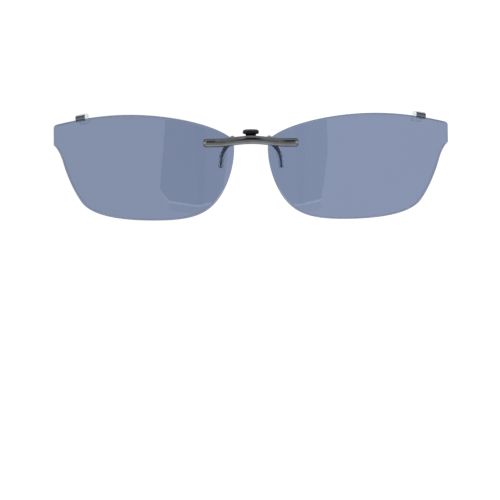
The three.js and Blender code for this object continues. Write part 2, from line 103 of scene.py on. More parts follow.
# ---- mesh helpers: a shape is a pair of vertices and faces, in design millimetres ----
def new_mesh(name, shape):
    """Mesh of a shape, taken from the design frame to the row frame."""
    vertices, faces = shape
    mesh = bpy.data.meshes.new(name)
    mesh.from_pydata([ORIGIN + Vector(v) * MM for v in vertices], [], faces)
    return mesh


def turn_faces_out(mesh, merge=0.0):
    """Make the faces look outwards, after joining points closer than merge."""
    bm = bmesh.new()
    bm.from_mesh(mesh)
    if merge:
        bmesh.ops.remove_doubles(bm, verts=bm.verts, dist=merge)
    bmesh.ops.recalc_face_normals(bm, faces=bm.faces)
    bm.to_mesh(mesh)
    bm.free()


def add_to_scene(name, data):
    obj = bpy.data.objects.new(name, data)
    bpy.context.scene.collection.objects.link(obj)
    return obj


def make_piece(node, shape, body, material):
    """Smooth piece that stands in for the CAD node of that name, riding on a body if one is given."""
    name = f"{node}_visual"
    mesh = new_mesh(name, shape)
    turn_faces_out(mesh, merge=1e-7)
    mesh.shade_smooth()
    piece = add_to_scene(name, mesh)
    piece.data.materials.append(material)
    if body:
        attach(piece, body)
    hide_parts(node)
    return piece


def skin(rings, first_tip=None, last_tip=None):
    """Closed surface over rings of equally many points, each end a fan about a tip."""
    n = len(rings[0])
    vertices = [tuple(p) for ring in rings for p in ring]
    faces = []
    for r in range(len(rings) - 1):
        for i in range(n):
            j = (i + 1) % n
            faces.append((r * n + i, r * n + j, (r + 1) * n + j, (r + 1) * n + i))
    for ring_start, ring, tip in ((0, rings[0], first_tip), ((len(rings) - 1) * n, rings[-1], last_tip)):
        middle = tip or sum((Vector(p) for p in ring), Vector()) / n
        vertices.append(tuple(middle))
        for i in range(n):
            faces.append((ring_start + i, ring_start + (i + 1) % n, len(vertices) - 1))
    return vertices, faces


def mirrored(shape, side):
    """The shape as drawn for the left side (+X), or its mirror image."""
    vertices, faces = shape
    return [(side * x, y, z) for x, y, z in vertices], faces


def turned(profile, sides=48):
    """Surface turned about Y from [radius, y] points; a profile off the axis closes on itself."""
    on_axis = profile[0][0] == 0
    body = profile[1:-1] if on_axis else profile
    rings = []
    for r, y in body:
        turns = [2 * math.pi * k / sides for k in range(sides)]
        rings.append([(r * math.cos(a), y, r * math.sin(a)) for a in turns])
    if on_axis:
        return skin(rings, Vector((0, profile[0][1], 0)), Vector((0, profile[-1][1], 0)))
    vertices = [p for ring in rings for p in ring]
    faces = []
    for r in range(len(rings)):
        for i in range(sides):
            a, b = r * sides, ((r + 1) % len(rings)) * sides
            j = (i + 1) % sides
            faces.append((a + i, a + j, b + j, b + i))
    return vertices, faces


def moved(shape, offset):
    """The shape shifted by an offset."""
    vertices, faces = shape
    return [tuple(Vector(v) + Vector(offset)) for v in vertices], faces


def bezier(p0, p1, p2, p3, t):
    """Point of a cubic curve."""
    s = 1 - t
    return p0 * s**3 + p1 * (3 * s * s * t) + p2 * (3 * s * t * t) + p3 * t**3


def resample(points, count, closed=False):
    """Evenly spaced points along a polyline."""
    line = list(points) + ([points[0]] if closed else [])
    lengths = [0.0]
    for a, b in zip(line, line[1:]):
        lengths.append(lengths[-1] + (b - a).length)
    out = []
    k = 0
    for i in range(count):
        want = lengths[-1] * i / (count if closed else count - 1)
        while k < len(line) - 2 and lengths[k + 1] < want:
            k += 1
        span = max(lengths[k + 1] - lengths[k], 1e-12)
        out.append(line[k].lerp(line[k + 1], min(1, (want - lengths[k]) / span)))
    return out


def centripetal(knots, per_span=24):
    """Centripetal Catmull-Rom curve through the knots."""
    points = [Vector(k) for k in knots]
    points = [points[0] * 2 - points[1]] + points + [points[-1] * 2 - points[-2]]
    out = []
    for p0, p1, p2, p3 in zip(points, points[1:], points[2:], points[3:]):
        d0, d1, d2 = ((b - a).length ** 0.5 for a, b in ((p0, p1), (p1, p2), (p2, p3)))
        m1 = ((p1 - p0) / d0 - (p2 - p0) / (d0 + d1) + (p2 - p1) / d1) * d1
        m2 = ((p2 - p1) / d1 - (p3 - p1) / (d1 + d2) + (p3 - p2) / d2) * d1
        for i in range(per_span):
            t = i / per_span
            a, b = 2 * t**3 - 3 * t * t + 1, t**3 - 2 * t * t + t
            c, d = 3 * t * t - 2 * t**3, t**3 - t * t
            out.append(p1 * a + m1 * b + p2 * c + m2 * d)
    return out + [points[-2]]


def frames_along(line):
    """Tangent, normal and binormal at each point, turning as little as possible."""
    out = []
    normal = None
    for i in range(len(line)):
        tangent = (line[min(i + 1, len(line) - 1)] - line[max(i - 1, 0)]).normalized()
        if normal is None:
            normal = tangent.orthogonal().normalized()
        normal = (normal - tangent * normal.dot(tangent)).normalized()
        out.append((tangent, normal, tangent.cross(normal)))
    return out


def ring_round(centre, axes, radius, sides, shift=0.0):
    """Circle of points about a line's point."""
    tangent, normal, binormal = axes
    angles = [2 * math.pi * k / sides for k in range(sides)]
    middle = centre + tangent * shift
    return [middle + normal * radius * math.cos(a) + binormal * radius * math.sin(a) for a in angles]


def wire(line, radius, sides, tip=0.4):
    """Round wire along a line, its ends rounded over by tip times the radius."""
    axes = frames_along(line)
    turns = [math.radians(a) for a in (20, 45, 70)]
    caps = [(radius * math.sin(a), tip * radius * math.cos(a)) for a in turns]
    rings = [ring_round(line[0], axes[0], r, sides, -out) for r, out in caps]
    rings += [ring_round(p, f, radius, sides) for p, f in zip(line, axes)]
    rings += [ring_round(line[-1], axes[-1], r, sides, out) for r, out in reversed(caps)]
    return skin(rings)


def cut_away(obj, *tools):
    """Boolean difference, applied."""
    apply_booleans(obj, "DIFFERENCE", tools)


def join_on(obj, *tools):
    """Boolean union, applied."""
    apply_booleans(obj, "UNION", tools)


def apply_booleans(obj, operation, tools):
    for shape in tools:
        mesh = new_mesh("tool", shape)
        turn_faces_out(mesh)
        tool = add_to_scene("tool", mesh)
        modifier = obj.modifiers.new("boolean", "BOOLEAN")
        modifier.operation = operation
        modifier.solver = "EXACT"
        modifier.object = tool
        bake_modifiers(obj)
        bpy.data.objects.remove(tool)
        bpy.data.meshes.remove(mesh)


def bake_modifiers(obj):
    """The modified mesh becomes the object's own."""
    bpy.context.view_layer.update()
    made = bpy.data.meshes.new_from_object(obj.evaluated_get(bpy.context.evaluated_depsgraph_get()))
    obj.modifiers.clear()
    old = obj.data
    made.name = old.name
    obj.data = made
    bpy.data.meshes.remove(old)


def soften(obj, width):
    """Small bevel on the sharp edges, applied, with smooth shading across it."""
    modifier = obj.modifiers.new("edge", "BEVEL")
    modifier.width = width * MM
    modifier.segments = 2
    modifier.limit_method = "ANGLE"
    modifier.angle_limit = math.radians(35)
    modifier.harden_normals = True
    modifier.use_clamp_overlap = True
    bake_modifiers(obj)
    obj.data.shade_smooth()


def box_shape(x, y, z):
    """Box between the pairs of limits."""
    corners = [(x[i], y[j], z[k]) for i in (0, 1) for j in (0, 1) for k in (0, 1)]
    faces = [(0, 1, 3, 2), (4, 6, 7, 5), (0, 4, 5, 1), (2, 3, 7, 6), (0, 2, 6, 4), (1, 5, 7, 3)]
    return corners, faces


def slab(outline, x0, x1):
    """Y-Z outline extruded along X."""
    n = len(outline)
    vertices = [(x, y, z) for x in (x0, x1) for y, z in outline]
    faces = [(i, (i + 1) % n, n + (i + 1) % n, n + i) for i in range(n)]
    return vertices, faces + [tuple(range(n)), tuple(range(2 * n - 1, n - 1, -1))]


def arc(centre, radius, start, end, steps=16):
    """Points of an arc in the Y-Z plane, angles in degrees."""
    angles = [math.radians(start + (end - start) * k / steps) for k in range(steps + 1)]
    return [(centre[0] + radius * math.cos(a), centre[1] + radius * math.sin(a)) for a in angles]


def rod(radius, start, end, sides):
    """Round rod along Y."""
    return turned([(0, start), (radius, start), (radius, end), (0, end)], sides)


def rod_y(x, z, radius, start, end):
    """Round rod along Y through x, z."""
    return moved(rod(radius, start, end, 40), (x, 0, z))


def laid_along_x(shape, centre=(0, PIVOT_Y, PIVOT_Z)):
    """A shape turned about Y, laid along X from the centre given."""
    vertices, faces = shape
    cx, cy, cz = centre
    return [(cx + y, cy + x, cz + z) for x, y, z in vertices], faces


def rod_x(radius, half):
    """Round rod along X through the pivot."""
    return laid_along_x(rod(radius, -half, half, 48))


# ---- material helpers ----
class Nodes:
    """Node tree of a material or the world, with short ways to add and join nodes."""

    def __init__(self, owner, output="ShaderNodeOutputMaterial"):
        owner.use_nodes = True
        self.owner = owner
        self.tree = owner.node_tree
        self.tree.nodes.clear()
        self.output = self.add(output)

    def add(self, kind, values=None, **settings):
        node = self.tree.nodes.new(kind)
        for key, value in settings.items():
            setattr(node, key, value)
        for key, value in (values or {}).items():
            self.put(node.inputs[key], value)
        return node

    def put(self, socket, value):
        if isinstance(value, bpy.types.NodeSocket):
            self.tree.links.new(value, socket)
        else:
            socket.default_value = value

    def math(self, operation, a, b=0.0, clamp=False):
        return self.add("ShaderNodeMath", {0: a, 1: b}, operation=operation, use_clamp=clamp).outputs[0]

    def noise(self, scale, detail=3.0, stretch=(1, 1, 1), roughness=0.5):
        place = self.add("ShaderNodeTexCoord").outputs["Object"]
        mapping = self.add("ShaderNodeMapping", {"Vector": place, "Scale": stretch})
        values = {"Vector": mapping.outputs[0], "Scale": scale, "Detail": detail, "Roughness": roughness}
        return self.add("ShaderNodeTexNoise", values).outputs["Fac"]

    def ramp(self, value, low, high, out_low, out_high, smooth=False):
        values = {"Value": value, "From Min": low, "From Max": high, "To Min": out_low, "To Max": out_high}
        kind = "SMOOTHSTEP" if smooth else "LINEAR"
        return self.add("ShaderNodeMapRange", values, interpolation_type=kind).outputs[0]

    def mix_colour(self, factor, a, b):
        node = self.add("ShaderNodeMix", data_type="RGBA")
        for index, value in ((0, factor), (6, a), (7, b)):
            self.put(node.inputs[index], value)
        return node.outputs[2]

    def bump(self, height, strength, distance):
        values = {"Height": height, "Strength": strength, "Distance": distance}
        return self.add("ShaderNodeBump", values).outputs[0]

    def worn_edge(self, radius):
        """1 on sharp edges, 0 away from them: how far a rounded normal leans from the true one."""
        rounded = self.add("ShaderNodeBevel", {"Radius": radius * MM}, samples=6).outputs[0]
        true = self.add("ShaderNodeNewGeometry").outputs["Normal"]
        along = self.add("ShaderNodeVectorMath", {0: rounded, 1: true}, operation="DOT_PRODUCT")
        return self.ramp(along.outputs["Value"], 0.98, 0.8, 0, 1)

    def finish(self, shader):
        self.tree.links.new(shader, self.output.inputs["Surface"])
        return self.owner


def material_nodes(name):
    return Nodes(bpy.data.materials.new(name))


def rgb(r, g, b):
    return (r, g, b, 1.0)


def grey(level):
    return rgb(level, level, level)


EDGE_WEAR = 0.06  # how far from an edge the wear of metal reaches, in millimetres
PAD_WEAR = 0.1  # the same for the thumb pad
FACE_ON_MIRROR = 0.0465  # share of light that one lens face mirrors when looked at squarely


def metal(name, dark, light, roughness, grain, stretch=(1, 1, 1)):
    """Metal with drawn or polished grain, cloudy tone, hairline marks and edges worn bright."""
    n = material_nodes(name)
    cloud = n.noise(260, 3)
    grain_noise = n.noise(grain, 4, stretch, 0.6)
    marks = n.noise(1500, 2, (0.2, 3, 3), 0.7)
    tone = n.ramp(n.math("ADD", n.math("MULTIPLY", cloud, 0.6), n.math("MULTIPLY", grain_noise, 0.4)),
                  0.35, 0.65, 0, 1)
    rough = n.ramp(grain_noise, 0.3, 0.7, roughness * 0.8, roughness * 1.25)
    scratch = n.ramp(marks, 0.62, 0.7, 0, 1)
    rough = n.math("ADD", rough, n.math("MULTIPLY", scratch, 0.08))
    worn = n.math("MULTIPLY", n.worn_edge(EDGE_WEAR), n.ramp(cloud, 0.35, 0.6, 0.25, 0.9))
    bright = rgb(*[min(1, 1.5 * c + 0.1) for c in light[:3]])
    values = {
        "Base Color": n.mix_colour(worn, n.mix_colour(tone, dark, light), bright),
        "Metallic": 1.0,
        "Roughness": rough,
        "Normal": n.bump(grain_noise, 0.12, 0.00001),
    }
    return n.finish(n.add("ShaderNodeBsdfPrincipled", values).outputs[0])


def lens_tint():
    """Two-sided film: each face passes the root of the tint and mirrors a little of the room."""
    n = material_nodes("tinted_lens")
    cloud = n.noise(40, 2)
    passed = n.mix_colour(cloud, rgb(0.441, 0.493, 0.607), rgb(0.449, 0.501, 0.617))
    clear = n.add("ShaderNodeBsdfTransparent", {"Color": passed}).outputs[0]
    smear = n.ramp(n.noise(90, 3, (1, 1, 2.5)), 0.55, 0.75, 0.01, 0.03)
    mirror = n.add("ShaderNodeBsdfGlossy", {"Color": grey(1), "Roughness": smear}).outputs[0]
    turn = n.add("ShaderNodeLayerWeight", {"Blend": 0.5}).outputs["Facing"]
    grazing = n.math("POWER", turn, 5.0)
    share = n.math("ADD", FACE_ON_MIRROR, n.math("MULTIPLY", grazing, 1 - FACE_ON_MIRROR))
    return n.finish(n.add("ShaderNodeMixShader", {0: share, 1: clear, 2: mirror}).outputs[0])


def lens_edge():
    """Ground rim: deep blue-grey looked at squarely, see-through tint where it turns edge on."""
    n = material_nodes("lens_rim")
    grain = n.noise(1800, 3, (1, 4, 1))
    values = {
        "Base Color": n.mix_colour(grain, rgb(0.045, 0.057, 0.1), rgb(0.075, 0.09, 0.145)),
        "Roughness": n.ramp(grain, 0.3, 0.7, 0.25, 0.42),
        "Normal": n.bump(grain, 0.2, 0.00001),
    }
    solid = n.add("ShaderNodeBsdfPrincipled", values).outputs[0]
    turn = n.add("ShaderNodeLayerWeight", {"Blend": 0.5}).outputs["Facing"]
    see_through = n.ramp(turn, 0.28, 0.5, 0, 1, smooth=True)
    passed = n.add("ShaderNodeBsdfTransparent", {"Color": rgb(0.5, 0.55, 0.66)}).outputs[0]
    return n.finish(n.add("ShaderNodeMixShader", {0: see_through, 1: solid, 2: passed}).outputs[0])


def clear_plastic(name, body, rim, alpha, roughness):
    """Clear moulding: nearly unseen face on, greyer and denser where it turns away."""
    n = material_nodes(name)
    turn = n.add("ShaderNodeLayerWeight", {"Blend": 0.45}).outputs["Facing"]
    haze = n.noise(700, 3)
    density = n.ramp(turn, 0.1, 0.9, *alpha)
    density = n.math("ADD", density, n.ramp(haze, 0.3, 0.7, -0.03, 0.05), clamp=True)
    values = {
        "Base Color": n.mix_colour(n.ramp(turn, 0.2, 0.95, 0, 1), body, rim),
        "Roughness": n.ramp(haze, 0.3, 0.7, roughness * 0.7, roughness * 1.4),
        "Specular IOR Level": 0.6,
        "Alpha": density,
        "Normal": n.bump(haze, 0.15, 0.00002),
    }
    return n.finish(n.add("ShaderNodeBsdfPrincipled", values).outputs[0])


def black_pad():
    """Black moulded grip: fine leathery grain, rubbed a little greyer on its edges."""
    n = material_nodes("black_pad")
    grain = n.noise(2600, 4, roughness=0.65)
    patch = n.noise(300, 2)
    rubbed = n.math("MULTIPLY", n.worn_edge(PAD_WEAR), n.ramp(patch, 0.35, 0.6, 0.2, 0.8))
    plain = n.mix_colour(patch, rgb(0.004, 0.004, 0.005), rgb(0.009, 0.009, 0.011))
    values = {
        "Base Color": n.mix_colour(rubbed, plain, rgb(0.03, 0.03, 0.033)),
        "Roughness": n.ramp(patch, 0.3, 0.7, 0.3, 0.45),
        "Specular IOR Level": 0.25,
        "Normal": n.bump(grain, 0.35, 0.00003),
    }
    return n.finish(n.add("ShaderNodeBsdfPrincipled", values).outputs[0])


POLISHED_TONES = rgb(0.24, 0.245, 0.255), rgb(0.33, 0.335, 0.345)
SATIN_TONES = rgb(0.2, 0.205, 0.215), rgb(0.3, 0.305, 0.315)
STEEL_TONES = rgb(0.5, 0.505, 0.515), rgb(0.66, 0.665, 0.67)
HOOK_TONES = rgb(0.125, 0.145, 0.185), rgb(0.185, 0.21, 0.255)
SILICONE_TONES = rgb(0.9, 0.93, 0.95), rgb(0.62, 0.66, 0.68)
NYLON_TONES = rgb(0.87, 0.9, 0.92), rgb(0.45, 0.5, 0.52)
TIP_TONES = rgb(0.75, 0.8, 0.82), rgb(0.2, 0.24, 0.26)
GUNMETAL = metal("gunmetal_polished", *POLISHED_TONES, roughness=0.085, grain=900, stretch=(0.25, 3, 3))
BRACKET = metal("gunmetal_satin", *SATIN_TONES, roughness=0.3, grain=1400)
STEEL = metal("drawn_steel", *STEEL_TONES, roughness=0.22, grain=2200, stretch=(1, 1, 0.3))
HOOK_METAL = metal("hook_gunmetal", *HOOK_TONES, roughness=0.3, grain=1400, stretch=(3, 0.4, 0.4))
LENS = lens_tint()
LENS_RIM = lens_edge()
SILICONE = clear_plastic("clear_silicone", *SILICONE_TONES, alpha=(0.04, 0.3), roughness=0.22)
CLEAR = clear_plastic("clear_nylon", *NYLON_TONES, alpha=(0.06, 0.45), roughness=0.12)
HOOK_CLEAR = clear_plastic("clear_tip", *TIP_TONES, alpha=(0.12, 0.8), roughness=0.15)
PAD = black_pad()


# ---- lenses ----
def lens_outline():
    """Outline of the left lens seen from the front, x outwards and z up, evenly spaced."""
    steps, count = 60, 420
    curves = [
        [(66, -1.1), (66, 0.8), (66, 2.6), (66, 4.5)],
        [(66, 4.5), (66, 5.2), (65.65, 5.63), (64.95, 5.8)],
        [(64.95, 5.8), (57, 7.6), (49.1, 8.7), (40.9, 8.7)],
        [(40.9, 8.7), (28.5, 8.7), (13.5, 5.85), (7, 1.1)],
        [(7, 1.1), (6.2, 0.5), (5.6, -0.9), (5.55, -2.6)],
        [(5.55, -2.6), (5.55, -9.25), (8.05, -15.1), (10.05, -18.2)],
        [(10.05, -18.2), (14.3, -24.8), (20.1, -26.4), (31.6, -26.4)],
        [(31.6, -26.4), (41.6, -26.4), (52.5, -25.3), (56.4, -20.5)],
        [(56.4, -20.5), (59, -17.1), (61.2, -12.05), (62.5, -7.9)],
        [(62.5, -7.9), (63.6, -3.9), (64.8, -2.1), (66, -1.1)],
    ]
    points = []
    for curve in curves:
        corners = [Vector(p) for p in curve]
        points += [bezier(*corners, k / steps) for k in range(steps)]
    return resample(points, count, closed=True)


def lens_depth(x, z, radius):
    """How far back a sphere of that radius about the lens's centre of curvature lies at x, z."""
    return SPHERE.y - math.sqrt(radius**2 - (x - SPHERE.x) ** 2 - (z - SPHERE.z) ** 2)


def lens_shape():
    """Meniscus shell with a rounded edge, from the front pole over the rim to the back pole."""
    outline = lens_outline()
    count = len(outline)
    inward = []
    for i in range(count):
        along = (outline[(i + 1) % count] - outline[i - 1]).normalized()
        inward.append(Vector((-along.y, along.x)))
    front, back = BASE_CURVE_R, BASE_CURVE_R - LENS_THICK

    def on_sphere(points, radius):
        return [(p.x, lens_depth(p.x, p.y, radius), p.y) for p in points]

    def shrunk(scale):
        return [LENS_MID.lerp(p, scale) for p in outline]

    def inset(distance):
        return [p + v * distance for p, v in zip(outline, inward)]

    # how far in from the outline, and how deep below the lens face, the edge's rounding goes
    edge = [(0.4, 0), (0.14, 0), (0.11, 0.003), (0.06, 0.025), (0.02, 0.07), (0, 0.13), (0, 0.17)]
    scales = [k / 26 for k in range(1, 26)] + [0.985]
    rings = [on_sphere(shrunk(scale), front) for scale in scales]
    rings += [on_sphere(inset(distance), front - depth) for distance, depth in edge]
    rings += [on_sphere(inset(distance), back + depth) for distance, depth in reversed(edge)]
    rings += [on_sphere(shrunk(scale), back) for scale in reversed(scales)]
    poles = [Vector(on_sphere([LENS_MID], radius)[0]) for radius in (front, back)]
    return skin(rings, *poles)


def build_lens(side, side_name):
    """Lens with its screw holes; the faces that stand across the lens are its ground rim."""
    rim_lean = 0.35
    lens = make_piece(f"{side_name}_lens", mirrored(lens_shape(), side), "front", LENS)
    cut_away(lens, *[rod_y(side * x, bar_z(x), BUSH_R + SLIP, 0, 6) for x in SCREW_X])
    lens.data.materials.append(LENS_RIM)
    for face in lens.data.polygons:
        middle = (face.center - ORIGIN) / MM
        straight_out = Vector((side * SPHERE.x, SPHERE.y, SPHERE.z)) - middle
        if abs(face.normal.normalized().dot(straight_out.normalized())) < rim_lean:
            face.material_index = 1
    lens.data.shade_smooth()


# ---- bridge bar ----
def bar_ring(x, share):
    """D section of the bar at x, scaled by share: flat back with rounded corners, elliptical front."""
    half = BAR_HALF_HIGH * share
    bulge = -BAR_FRONT * share
    corner = min(0.28, half * 0.6)
    points = []
    for k in range(7):
        a = math.radians(90 - 15 * k)
        points.append((BAR_BACK - corner + corner * math.cos(a), half - corner + corner * math.sin(a)))
    points += [(y, -z) for y, z in reversed(points)]
    for k in range(1, 32):
        a = -math.pi / 2 + math.pi * k / 32
        points.append((-bulge * math.cos(a), half * math.sin(a)))
    return [(x, y, z + bar_z(x)) for y, z in points]


def bar_shape():
    """Even sections along the bar, shrinking over a rounded end on each side."""
    straight = BAR_HALF - BAR_END_R
    turns = [math.radians(a) for a in (90, 84, 75, 65, 55, 45, 35, 25, 15, 7)]
    fall = 1 - BAR_END_SHARE
    ends = [(straight + BAR_END_R * math.sin(a), 1 - fall * (1 - math.cos(a))) for a in turns]
    middle = [(straight * (k / 40 - 1), 1.0) for k in range(81)]
    stations = [(-x, s) for x, s in ends] + middle + list(reversed(ends))
    return skin([bar_ring(x, s) for x, s in stations])


def build_bar():
    bar = make_piece("bridge_bar", bar_shape(), "front", GUNMETAL)
    holes = [rod_y(side * x, bar_z(x), SCREW_R + SLIP, -0.4, 3) for x in SCREW_X for side in (-1, 1)]
    cut_away(bar, *holes)
    bar.data.shade_smooth()


# ---- lens fixings ----
def node_y(node):
    """Front and back of a CAD node, in design millimetres."""
    low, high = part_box(node)
    return (low.y - ORIGIN.y) / MM, (high.y - ORIGIN.y) / MM


def build_bushing(node, centre, flange):
    """Clear flanged tube through the lens; its flange lies between the bar and the lens."""
    bore, round_over = SCREW_R + SLIP, 0.05
    front, back = node_y(node)
    profile = [(bore, front), (FLANGE_R - round_over, front), (FLANGE_R, front + round_over)]
    profile += [(FLANGE_R, front + flange - round_over), (FLANGE_R - round_over, front + flange)]
    profile += [(BUSH_R, front + flange), (BUSH_R, back), (bore, back)]
    make_piece(node, moved(turned(profile), centre), "front", CLEAR)


def build_washer(node, centre):
    bore, round_over = SCREW_R + SLIP, 0.04
    front, back = node_y(node)
    profile = [(bore, front), (FLANGE_R - round_over, front), (FLANGE_R, front + round_over)]
    profile += [(FLANGE_R, back - round_over), (FLANGE_R - round_over, back), (bore, back)]
    make_piece(node, moved(turned(profile), centre), "front", STEEL)


def build_screw(node, centre, head):
    """Screw from behind: pointed tip in the bar, domed head from the depth given, driver slot."""
    tip, top = node_y(node)
    profile = [(0, tip), (0.38, tip), (SCREW_R, tip + 0.2), (SCREW_R, head), (SCREW_HEAD_R - 0.05, head)]
    profile += [(SCREW_HEAD_R, head + 0.05), (SCREW_HEAD_R, head + 0.2), (0.93, head + 0.32)]
    profile += [(0.75, head + 0.42), (0.45, head + 0.48), (0, top)]
    screw = make_piece(node, moved(turned(profile), centre), "front", STEEL)
    corners, faces = box_shape((-1.4, 1.4), (top - 0.22, top + 0.3), (-0.14, 0.14))
    stopped_at = 0.6 + 0.9 * centre[0]  # each slot ends up at a turn of its own
    turn = Matrix.Rotation(stopped_at, 3, "Y")
    slot = [tuple(turn @ Vector(v)) for v in corners], faces
    cut_away(screw, moved(slot, centre))
    screw.data.shade_smooth()


def build_fixing(place, x, side, side_name):
    tag = f"{side_name}_{place}"
    centre = (side * x, 0, bar_z(x))
    build_bushing(f"{tag}_bushing", centre, FLANGE_THICK[place])
    build_washer(f"{tag}_washer", centre)
    washer_back = node_y(f"{tag}_washer")[1]
    build_screw(f"{tag}_screw", centre, washer_back)


# ---- clamp: bracket, pin, lever, pad, spring ----
def build_bracket():
    """Plate on the back of the bar, a floor behind it and two ears that carry the pin."""
    plate = box_shape((-3.9, 3.9), (BAR_BACK, 1.6), (-1.05, 1.05))
    floor = box_shape((-EAR_OUT, EAR_OUT), (1.2, FLOOR_BACK), (FLOOR_LOW, FLOOR_TOP))
    ear = [(1.5, FLOOR_LOW), (FLOOR_BACK, FLOOR_LOW), (FLOOR_BACK, FLOOR_TOP)]
    ear += arc((PIVOT_Y, PIVOT_Z), 0.6, 0, 115)
    ear += [(2.6, PIVOT_Z - 0.3), (1.5, PIVOT_Z - 0.3)]
    bracket = make_piece("clamp_bracket", plate, "front", BRACKET)
    join_on(bracket, floor, slab(ear, EAR_IN, EAR_OUT), slab(ear, -EAR_OUT, -EAR_IN))
    cut_away(bracket, rod_x(PIN_R + 0.02, 5))
    soften(bracket, 0.06)


def build_pin():
    """Hinge pin with a turned head at one end and a hammered one at the other."""
    face, end = 3.95, 4.3
    head_r, hammered_r = 0.5, 0.56
    profile = [(0, -end), (head_r - 0.08, -end), (head_r, -end + 0.08), (head_r, -face), (PIN_R, -face)]
    profile += [(PIN_R, face), (hammered_r, face), (hammered_r, face + 0.15), (0.5, end - 0.08)]
    profile += [(0.35, end - 0.02), (0, end)]
    make_piece("hinge_pin", laid_along_x(turned(profile)), "front", STEEL)


PAD_FRONT = Vector((3.9, 1.85))  # y and z of the lower front edge of the pad's head
PAD_SLOPE = math.radians(10)
PAD_ALONG = Vector((math.cos(PAD_SLOPE), math.sin(PAD_SLOPE)))
PAD_UP = Vector((-math.sin(PAD_SLOPE), math.cos(PAD_SLOPE)))
PAD_WIDE, PAD_LONG, PAD_THICK = 5.45, 3.9, 1.42
NECK_Y, NECK_Z = 5.15, 1.15
ROOF_Y, ROOF_Z = (4.7, 6.0), (0.82, 1.14)


def pad_point(along, up):
    """Point (y, z) of the sloping head, measured along and up from its lower front edge."""
    return PAD_FRONT + PAD_ALONG * along + PAD_UP * up


def tongue_outline():
    """Bent metal tongue: up through the pad's neck, then back along its head."""
    half, foot = 0.2, 0.94
    middle = PAD_FRONT.y + PAD_THICK / 2 + (NECK_Y - PAD_FRONT.x) * math.tan(PAD_SLOPE)
    end = pad_point(PAD_LONG - 0.7, PAD_THICK / 2)
    under, over = end - PAD_UP * half, end + PAD_UP * half
    return [(NECK_Y - half, foot), (NECK_Y + half, foot), (NECK_Y + half, middle - half),
            tuple(under), tuple(over), (NECK_Y - half, middle + half)]


def build_lever():
    """Two cheeks on the pin, a roof between them and the tongue inside the thumb pad."""
    cheek = arc((PIVOT_Y, PIVOT_Z), 0.8, 150, 340)
    cheek += [(ROOF_Y[1], ROOF_Z[0] - 0.3), (ROOF_Y[1], ROOF_Z[1]), (ROOF_Y[0], ROOF_Z[1])]
    roof = box_shape((-CHEEK_OUT, CHEEK_OUT), ROOF_Y, ROOF_Z)
    lever = make_piece("clamp_lever", roof, "lever", BRACKET)
    cheeks = slab(cheek, CHEEK_IN, CHEEK_OUT), slab(cheek, -CHEEK_OUT, -CHEEK_IN)
    join_on(lever, *cheeks, slab(tongue_outline(), -1.4, 1.4))
    cut_away(lever, rod_x(PIN_R + 0.04, 5))
    soften(lever, 0.05)


def pad_ring(wide, long, place):
    """Rounded rectangle of points; place turns across and along into a point."""
    count, squareness = 72, 0.55
    points = []
    for k in range(count):
        a = 2 * math.pi * k / count
        c, s = math.cos(a), math.sin(a)
        across = wide / 2 * math.copysign(abs(c) ** squareness, c)
        points.append(place(across, long / 2 * math.copysign(abs(s) ** squareness, s)))
    return points


def pad_shape():
    """Neck flaring into a crowned head."""

    def on_head(up):
        def place(across, along):
            p = pad_point(PAD_LONG / 2 + along, up)
            return (across, p.x, p.y)
        return place

    def on_neck(z, lean):
        def place(across, along):
            slope = (NECK_Y + along - PAD_FRONT.x) * math.tan(PAD_SLOPE) * lean
            return (across, NECK_Y + along, z + slope)
        return place

    under_z = PAD_FRONT.y
    neck = [(3.3, 1.5, NECK_Z, 0), (3.5, 1.7, NECK_Z + 0.05, 0), (3.5, 1.7, NECK_Z + 0.3, 0)]
    neck += [(3.5, 1.7, under_z - 0.12, 1), (3.62, 1.85, under_z - 0.03, 1), (3.8, 2.05, under_z, 1)]
    rings = [pad_ring(wide, long, on_neck(z, lean)) for wide, long, z, lean in neck]
    # heights above the head's underside, each with the share of the full width there
    under = [(0.0, 0.84), (0.03, 0.9), (0.12, 0.96), (0.28, 0.99), (0.5, 1.0), (0.72, 0.99)]
    crown = [(0.9, 0.965), (1.02, 0.925), (1.12, 0.87), (1.2, 0.79), (1.25, 0.69), (1.28, 0.55), (1.3, 0.3)]
    for up, scale in under + crown:
        long = PAD_LONG * (1 - (1 - scale) * 0.75)
        rings.append(pad_ring(PAD_WIDE * scale, long, on_head(up)))
    top = pad_point(PAD_LONG / 2, PAD_THICK)
    return skin(rings, Vector((0, NECK_Y, NECK_Z)), Vector((0, top.x, top.y)))


def build_pad():
    """Pad with four moulded grooves across the top of its head."""
    first, pitch, half_long, radius, above = 0.95, 0.62, 2.0, 0.17, 0.1
    grooves = []
    for k in range(4):
        p = pad_point(first + pitch * k, PAD_THICK + above)
        line = [Vector((x, p.x, p.y)) for x in (-half_long, 0, half_long)]
        grooves.append(wire(line, radius, 16, tip=1))
    pad = make_piece("thumb_pad", pad_shape(), "lever", PAD)
    cut_away(pad, *grooves)
    pad.data.shade_smooth()


def spring_line():
    """Lower leg on the bracket's floor, nearly four turns round the pin, upper leg to the lever."""
    half = 0.84
    start, sweep = math.radians(120), math.radians(1380)
    coil = []
    for k in range(161):
        t = k / 160
        a = start - t * sweep
        y, z = PIVOT_Y + SPRING_R * math.cos(a), PIVOT_Z + SPRING_R * math.sin(a)
        coil.append(Vector((half * (1 - 2 * t), y, z)))
    drop = coil[0].z - (FLOOR_TOP + SPRING_WIRE + 0.02)
    run = drop / math.tan(start - math.pi / 2)
    low = [coil[0] - Vector((0, run * s, drop * s)) for s in (1, 0.75, 0.5, 0.25)]
    bend = (-half, PIVOT_Y - SPRING_R + 0.03, PIVOT_Z + 0.45)
    high = centripetal([coil[-1], bend, (-half, SPRING_REST_Y, SPRING_REST_Z)], 8)
    return low + coil + high[1:]


